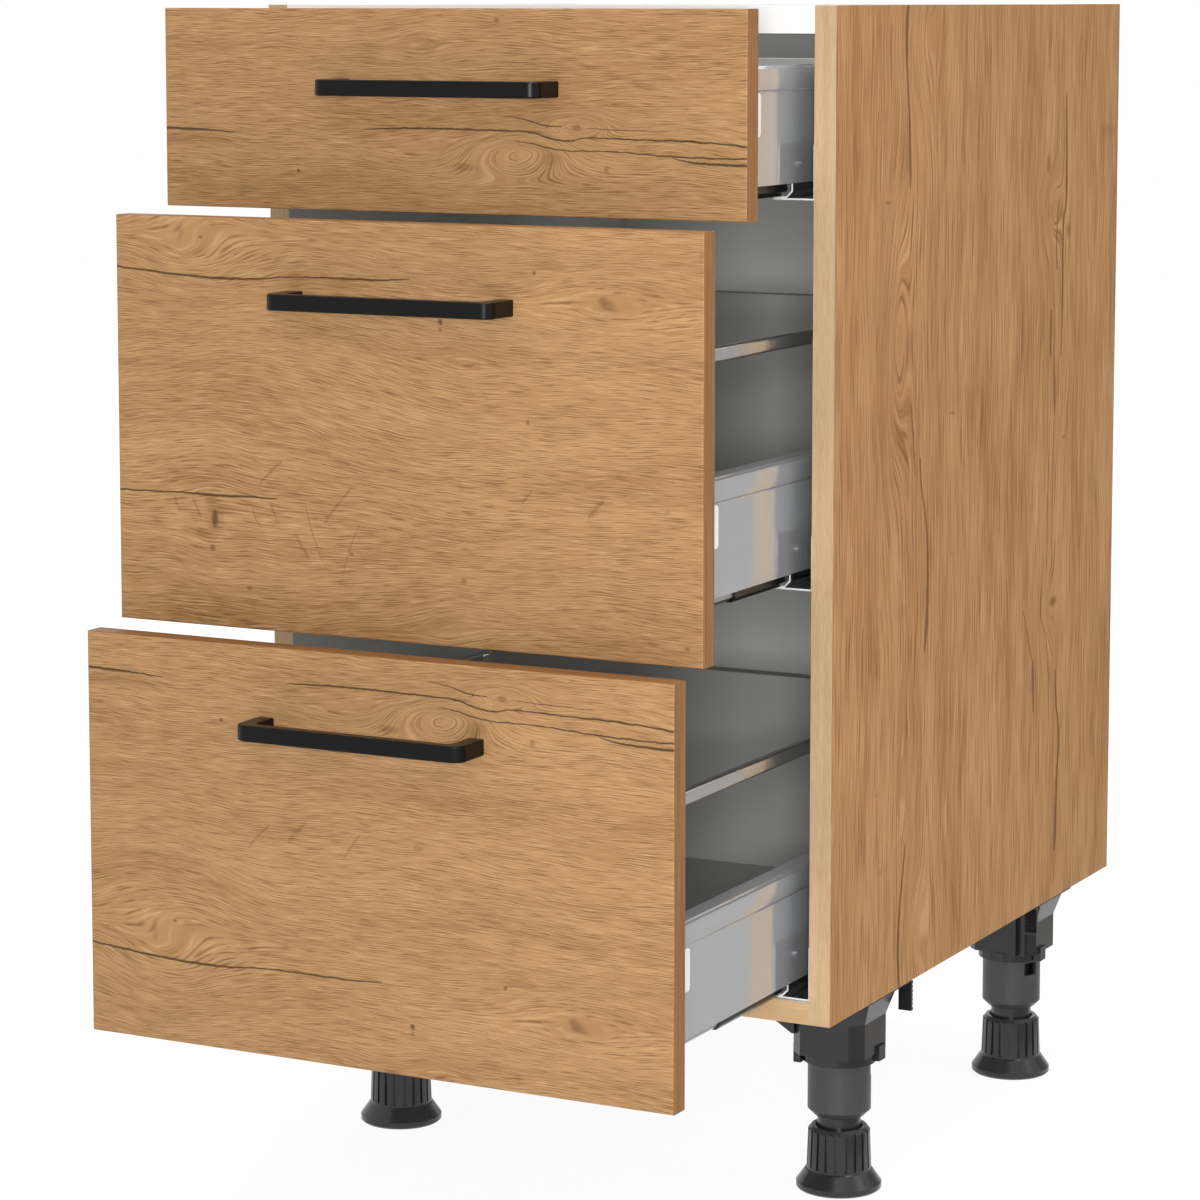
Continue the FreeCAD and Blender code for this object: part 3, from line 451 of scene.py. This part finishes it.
# ---------------------------------------------------------------- drawer sides
# Double-walled sides folded from sheet steel and powder coated in a glossy silver grey. They sit on the drawer
# members of the runners, and the fronts are screwed to the fixings inside them.

# The band's middle below the top edge and half its height, in millimetres, and its bulge in metres.
BAND_MIDDLE = 9.5
BAND_HALF = 8.5
BULGE_DEPTH = 0.0014


def silver_coat_finish(name):
    """Silver coat; the band above the ledge bulges a little."""
    top = 1000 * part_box(f"drawer_side_right_{name}")[1][2]
    finish = Finish(f"silver_coat_{name}")
    x, y, z = finish.place()
    fleck = finish.noise(x / 0.35, y / 0.35, z / 0.35, detail=1.0)
    peel = finish.noise(x / 6, y / 6, z / 6, detail=2.0)
    rise = (top - BAND_MIDDLE - z) / BAND_HALF
    bulge = (1 - rise * rise).held()
    color = finish.blend((0.5 + fleck * 0.12).held(), tone(190, 192, 195), tone(206, 208, 211))
    height = bulge * 0.99 + peel * 0.002
    return finish.finish(color, 0.1 + fleck * 0.02, height, BULGE_DEPTH, Metallic=0.62)


for name in DRAWERS:
    dress([f"drawer_side_right_{name}", f"drawer_side_left_{name}"], silver_coat_finish(name))


# ---------------------------------------------------------------- cover caps
# Small covers moulded in white plastic, snapped onto the outer walls of the drawer sides over the adjusters of the
# fronts.


def white_plastic_finish():
    finish = Finish("white_plastic")
    x, y, z = finish.place()
    grain = finish.noise(y / 0.6, z / 0.6, x)
    color = finish.blend((0.5 + grain * 0.1).held(), tone(226, 226, 225), tone(240, 240, 239))
    return finish.finish(color, 0.4, 0.5 + grain * 0.15, 0.00003)


dress([f"cover_caps_{name}" for name in DRAWERS], white_plastic_finish())


# ---------------------------------------------------------------- drawer bottoms and backs
# Chipboards coated in a plain grey with a fine grain. The bottom lies on the sills of the sides, and the back stands
# on it between them.


def grey_board_finish():
    finish = Finish("grey_board")
    x, y, z = finish.place()
    grain = finish.noise(x / 0.9, y / 0.9, z / 0.9, detail=2.0)
    cloud = finish.noise(x / 60, y / 60, z / 60)
    color = finish.blend((0.5 + grain * 0.12 + cloud * 0.1).held(), tone(150, 151, 149), tone(172, 173, 171))
    return finish.finish(color, 0.5 + grain * 0.03, 0.5 + grain * 0.12, 0.00005)


dress([f"drawer_{board}_{name}" for name in DRAWERS for board in ("bottom", "back")], grey_board_finish())


# ---------------------------------------------------------------- gallery rails
# Polished steel rails above the sides of the deep drawers, each from a socket on the front to a holder on the
# back.

polished_rail = zinc_finish("polished_rail", tone(206, 208, 210), tone(232, 233, 234), 0.24)
dress(["gallery_rails_middle", "gallery_rails_bottom"], polished_rail)


# ---------------------------------------------------------------- fronts
# Boards cut at different heights from one oak decor with level grain, edged all round with a darker, striped oak
# edging.

# The row of the sheet at each front's top edge, and how far past a front's edges its marks are still drawn.
SHEET_START = dict(top=0, middle=239, bottom=58)
MARK_MARGIN = 30
FRONT_ROUGHNESS = 0.5

# Marks of the sheet, in from its left edge and down from its top, in millimetres, laid out as the side's are. Flecks
# are short cracks that slant across the grain.
SHEET_CRACKS = [
    [
        (160, 81.5, 0.3), (200, 80.2, 0.9), (250, 80.6, 0.8), (282, 81, 0.8), (300, 84.5, 0.9), (316, 86.5, 0.8),
        (330, 84.5, 0.6), (360, 85, 0.7), (400, 85.6, 0.9), (424, 86.6, 0.8), (449, 89, 1.0),
    ],
    [(-2, 82.8, 1.2), (20, 83.2, 1.2), (42, 84.2, 0.8), (62, 85, 0.2)],
    [(268, 71, 0.2), (286, 73.5, 0.5), (298, 76.6, 0.6), (312, 77.5, 0.4)],
    [(330, 78.5, 0.2), (360, 79.2, 0.4), (390, 79.6, 0.1)],
    [
        (276, 87.5, 0.2), (290, 89, 0.5), (304, 92, 0.6), (320, 93.4, 0.6), (345, 93, 0.5), (372, 94.6, 0.6),
        (400, 96, 0.7), (428, 96.4, 0.7), (449, 95.8, 0.8),
    ],
    [(392, 95.4, 0.2), (402, 98.6, 0.7), (420, 100, 1.1), (449, 100.8, 1.3)],
    [
        (-2, 274, 0.8), (30, 277, 1.0), (60, 279, 1.1), (90, 280, 1.2), (110, 279.6, 1.0), (140, 277.4, 0.7),
        (170, 277, 0.9), (200, 277.2, 0.9), (232, 275.6, 0.3),
    ],
    [(-2, 428.4, 0.9), (50, 427.6, 0.8), (80, 427.8, 1.2), (110, 427.4, 1.0), (128, 427.6, 0.3)],
]
SHEET_SWIRLS = [
    (78, 444, 150, 140, 0.4),
    (278, 98, 36, 15, 1.7),
    (323, 78, 20, 8, 1.6),
    (215, 90, 42, 12, 0.9),
    (66, 262, 62, 44, 1.0),
    (385, 289, 60, 20, 1.0),
    (40, 245, 45, 26, 0.4),
    (206, 24, 22, 12, 0.9),
    (78, 443, 26, 24, 0.3),
    (262, 502, 36, 18, 0.9),
    (60, 500, 60, 25, 0.5),
    (275, 334, 20, 10, 0.9),
]
SHEET_SMUDGES = [
    (30, 90, 40, 5, 0.18),
    (323, 78, 5, 2.4, 0.45),
    (304, 99, 9, 5, 0.22),
    (238, 105.5, 11, 3.2, 0.35),
    (263, 8, 2.6, 2.2, 0.5),
    (208, 24, 10, 7, 0.16),
    (108, 110.5, 1.6, 1.6, 0.75),
    (345, 105, 2, 2.4, 0.4),
    (69, 252.5, 2, 1.4, 0.6),
    (131, 266, 5, 2.5, 0.22),
    (255, 303, 2.2, 2.2, 0.8),
    (255, 308, 2, 1.4, 0.4),
    (325, 268.5, 1.8, 1.6, 0.6),
    (383, 291, 26, 7, 0.10),
    (260, 183, 5, 2.4, 0.3),
    (78, 444, 3.4, 8, 0.85),
    (78, 443, 8, 13, 0.25),
    (75, 432, 6, 5, 0.35),
    (76, 464, 3, 2.6, 0.6),
    (186, 461, 2, 1.4, 0.6),
    (272, 474, 3, 2.6, 0.4),
    (105, 490, 3, 2, 0.4),
    (258, 502, 18, 8, 0.13),
    (436, 506, 2.6, 1.8, 0.45),
    (320, 366, 1.6, 1.6, 0.55),
    (319, 375, 3, 2.4, 0.2),
    (421, 419, 3, 1.6, 0.3),
    (270, 411, 4, 2.5, 0.2),
]
SHEET_FLECKS = [
    [(128, 196, 0.4), (136, 187, 0.9), (146, 178, 0.4)],
    [(160, 187, 0.6), (166, 182, 1.4), (173, 175, 0.6)],
    [(203, 195, 0.4), (209, 187, 0.9), (216, 178, 0.4)],
    [(165, 441, 0.4), (176, 428, 1.0), (187, 416, 0.4)],
    [(179, 476, 0.6), (184, 460, 1.0), (192, 442, 0.4)],
    [(150, 430, 0.3), (152, 438, 0.9), (158, 455, 0.9), (164, 468, 0.3)],
    [(142, 451, 0.6), (148, 460, 1.4), (153, 466, 0.4)],
    [(114, 419, 0.4), (122, 410, 0.9), (132, 402, 0.4)],
    [(122, 431, 0.4), (125, 436, 1.0), (128, 444, 0.4)],
    [(364, 426, 0.6), (369, 420, 1.4), (376, 414, 0.6)],
    [(315, 419, 0.4), (319, 415, 0.9), (323, 411, 0.4)],
    [(60, 430, 0.4), (64, 438, 1.2), (67, 444, 0.4)],
    [(45, 431, 0.4), (47, 435, 1.2), (50, 440, 0.4)],
    [(108, 434, 0.4), (110, 440, 0.9), (115, 448, 0.4)],
]


def within(marks, low, high, key):
    """The marks of the sheet that come onto one front."""
    return [mark for mark in marks if low - MARK_MARGIN < key(mark) < high + MARK_MARGIN]


def front_finish(name):
    """The part of the sheet that this front is cut from, and the striped edging on its edges."""
    low_corner, high_corner = (1000 * Vector(corner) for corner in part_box(f"front_{name}"))
    start = SHEET_START[name]
    end = start + high_corner.z - low_corner.z
    finish = Finish(f"oak_front_{name}")
    x, y, z = finish.place()
    across_side, _, across_top = finish.facing()
    along = x - low_corner.x
    across = (high_corner.z + start) - z
    cracks = within(SHEET_CRACKS, start, end, lambda points: points[1][1])
    flecks = within(SHEET_FLECKS, start, end, lambda points: points[1][1])
    swirls = within(SHEET_SWIRLS, start, end, lambda mark: mark[1])
    smudges = within(SHEET_SMUDGES, start, end, lambda mark: mark[1])
    bark, height = oak(finish, along, across, swirls, cracks, flecks, smudges)
    upright = abs(across_side).step(0.6, 0.8)
    level = abs(across_top).step(0.6, 0.8)
    run = z * upright + x * level
    stripes = finish.noise(run / 110, y / 2.4, 1.0, detail=3.0) * 0.34 + finish.noise(run / 14, y / 0.9, 4.0) * 0.12
    edging = finish.blend((0.5 + stripes).held(), tone(103, 64, 28), tone(166, 117, 66))
    color = finish.blend((upright + level).held(), bark, edging)
    return finish.finish(color, FRONT_ROUGHNESS, height, GRAIN_DEPTH, **WOOD_GLOSS)


for name in DRAWERS:
    dress([f"front_{name}"], front_finish(name))


# ---------------------------------------------------------------- handles
# Bars of rectangular section, bent at both ends, in a black satin coat. Two screws through the front hold each of
# them.


def black_coat_finish():
    finish = Finish("black_satin_coat")
    x, y, z = finish.place()
    grain = finish.noise(x / 0.5, y / 0.5, z / 0.5, detail=2.0)
    color = finish.blend((0.5 + grain * 0.2).held(), tone(4, 4, 4), tone(10, 10, 11))
    return finish.finish(color, 0.3 + grain * 0.03, 0.5 + grain * 0.12, 0.00004, **{"Specular IOR Level": 0.17})


dress([f"handle_{name}" for name in DRAWERS], black_coat_finish())


# ---------------------------------------------------------------- legs
# Injection-moulded legs in black plastic: a bracket screwed under the bottom, a tube in it, and a foot that screws
# up and down in the tube.

LEGS = ("front_left", "front_right", "rear_left", "rear_right")


def leg_plastic_finish():
    """The tube is matt and scuffed along its length."""
    finish = Finish("leg_plastic")
    x, y, z = finish.place()
    grain = finish.noise(x / 0.7, y / 0.7, z / 0.7, detail=2.0)
    scuff = finish.noise(x / 1.2, y / 6, z / 9, detail=3.0)
    color = finish.blend((0.5 + grain * 0.16 + scuff * 0.14).held(), tone(46, 46, 47), tone(72, 72, 73))
    return finish.finish(color, 0.42 + scuff * 0.05, 0.5 + grain * 0.2, 0.00006)


def foot_plastic_finish():
    """The foot and the bracket are polished, darker and glossier than the tube."""
    finish = Finish("foot_plastic")
    x, y, z = finish.place()
    grain = finish.noise(x / 0.7, y / 0.7, z / 0.7, detail=2.0)
    color = finish.blend((0.5 + grain * 0.16).held(), tone(26, 26, 27), tone(40, 40, 41))
    return finish.finish(color, 0.24 + grain * 0.02, 0.5 + grain * 0.1, 0.00004)


dress([f"leg_tube_{leg}" for leg in LEGS], leg_plastic_finish())
dress([f"{piece}_{leg}" for leg in LEGS for piece in ("leg_bracket", "foot")], foot_plastic_finish())


# ---------------------------------------------------------------- studio
# A white floor and surroundings, broad soft lamps, a grey card that shows only in reflections, and a camera where
# the photograph was taken from.

CAMERA_PLACE = (1.27103, -2.51122, 0.85898)
CAMERA_TURN = math.radians(27.409)
CAMERA_DIP = math.radians(6.5)
CAMERA_LENS = 114.661
CAMERA_SENSOR = 36
CAMERA_SHIFT = (0.0028, -0.139)

camera = bpy.data.objects.new("camera", bpy.data.cameras.new("camera"))
camera.data.lens = CAMERA_LENS
camera.data.sensor_width = CAMERA_SENSOR
camera.data.shift_x, camera.data.shift_y = CAMERA_SHIFT
camera.location = CAMERA_PLACE
camera.rotation_euler = (math.pi / 2 - CAMERA_DIP, 0, CAMERA_TURN)
bpy.context.scene.collection.objects.link(camera)
bpy.context.scene.camera = camera


def lamp(name, place, target, width, height, power):
    """A softbox at place that points at target, in metres and watts."""
    light = bpy.data.lights.new(name, "AREA")
    light.shape = "RECTANGLE"
    light.size, light.size_y = width, height
    light.energy = power
    thing = bpy.data.objects.new(name, light)
    thing.location = place
    thing.rotation_euler = (Vector(target) - Vector(place)).to_track_quat("-Z", "Y").to_euler()
    bpy.context.scene.collection.objects.link(thing)


lamp("key_softbox", (1.2, -2.5, 2.1), (0, 0, 0.45), 1.3, 1.3, 15)
lamp("top_softbox", (0.1, 0.25, 2.7), (0, 0.1, 0), 1.4, 1.4, 50)
lamp("side_softbox", (2.9, 0.2, 1.5), (0, 0, 0.4), 1.2, 1.6, 10)
lamp("camera_softbox", (1.36, -2.70, 0.90), (0, 0, 0.42), 0.45, 0.45, 40)


def stage_sheet(name, corners, faces):
    """A flat thing of the studio, from its corners in metres."""
    mesh = bpy.data.meshes.new(name)
    mesh.from_pydata(corners, [], faces)
    thing = bpy.data.objects.new(name, mesh)
    bpy.context.scene.collection.objects.link(thing)
    return thing


# A grey card stands behind on the right and runs out over the floor, where the coated steel mirrors it.
CARD_LEFT, CARD_RIGHT = 0.6, 3.2
CARD_BACK, CARD_FRONT = 2.6, -0.6
CARD_TOP = 1.8
CARD_WING = 0.3
CARD_LIFT = 0.002

card = stage_sheet(
    "grey_card",
    [
        (CARD_LEFT, CARD_BACK, 0),
        (CARD_RIGHT, CARD_BACK, 0),
        (CARD_RIGHT, CARD_BACK, CARD_TOP),
        (CARD_LEFT, CARD_BACK, CARD_TOP),
        (CARD_RIGHT, CARD_FRONT, CARD_LIFT),
        (CARD_LEFT, CARD_FRONT, CARD_LIFT),
        (CARD_WING, CARD_FRONT, CARD_LIFT),
        (CARD_WING, CARD_BACK, CARD_LIFT),
    ],
    [(0, 1, 2, 3), (0, 1, 4, 5), (0, 5, 6, 7)],
)
card.visible_camera = card.visible_diffuse = card.visible_shadow = False


def card_finish():
    finish = Finish("grey_card")
    return finish.finish((0, 0, 0, 1), 1.0, **{"Emission Color": tone(172, 169, 165), "Emission Strength": 1.0})


card.data.materials.append(card_finish())

# The floor is matt white and keeps the object's shadow. Seen or mirrored it glows, near the object by FLOOR_SHARE
# and out of the shadow's reach, in millimetres, wholly.
FLOOR_HALF = 7
FLOOR_GLOW = 1.08
FLOOR_SHARE = 0.84
SHADOW_REACH = (500, 1500)

floor = stage_sheet(
    "floor",
    [
        (-FLOOR_HALF, -FLOOR_HALF, 0), (FLOOR_HALF, -FLOOR_HALF, 0), (FLOOR_HALF, FLOOR_HALF, 0),
        (-FLOOR_HALF, FLOOR_HALF, 0),
    ],
    [(0, 1, 2, 3)],
)


def noticed(finish):
    """1 where the camera sees or a mirror shows the surface, 0 for the light that it throws on other things."""
    seen = finish.node("LightPath", {}, {}, "Is Camera Ray")
    mirrored = finish.node("LightPath", {}, {}, "Is Glossy Ray")
    return seen.math("MAXIMUM", mirrored)


def floor_finish():
    finish = Finish("studio_floor")
    x, y, _ = finish.place()
    away = (x * x + y * y).math("SQRT").step(*SHADOW_REACH)
    finish.set(finish.surface, {"Base Color": tone(240, 240, 240), "Roughness": 0.9})
    glow = finish.node("Emission", {}, {"Color": (1, 1, 1, 1), "Strength": FLOOR_GLOW})
    share = noticed(finish) * (FLOOR_SHARE + away * (1 - FLOOR_SHARE))
    surface = Socket(finish, finish.surface.outputs[0])
    mixed = finish.node("MixShader", {}, {0: share, 1: surface, 2: glow})
    output = next(made for made in finish.tree.nodes if made.type == "OUTPUT_MATERIAL")
    finish.set(output, {"Surface": mixed})
    return finish.material


floor.data.materials.append(floor_finish())

# The surroundings look white and light the object with SKY_LIGHT.
SKY_LIGHT = 0.46

sky = Finish("studio", "worlds", "Background")
sky.set(sky.surface, {"Color": (1, 1, 1, 1), "Strength": noticed(sky) * (1 - SKY_LIGHT) + SKY_LIGHT})
bpy.context.scene.world = sky.material

bpy.context.scene.view_settings.view_transform = "Standard"
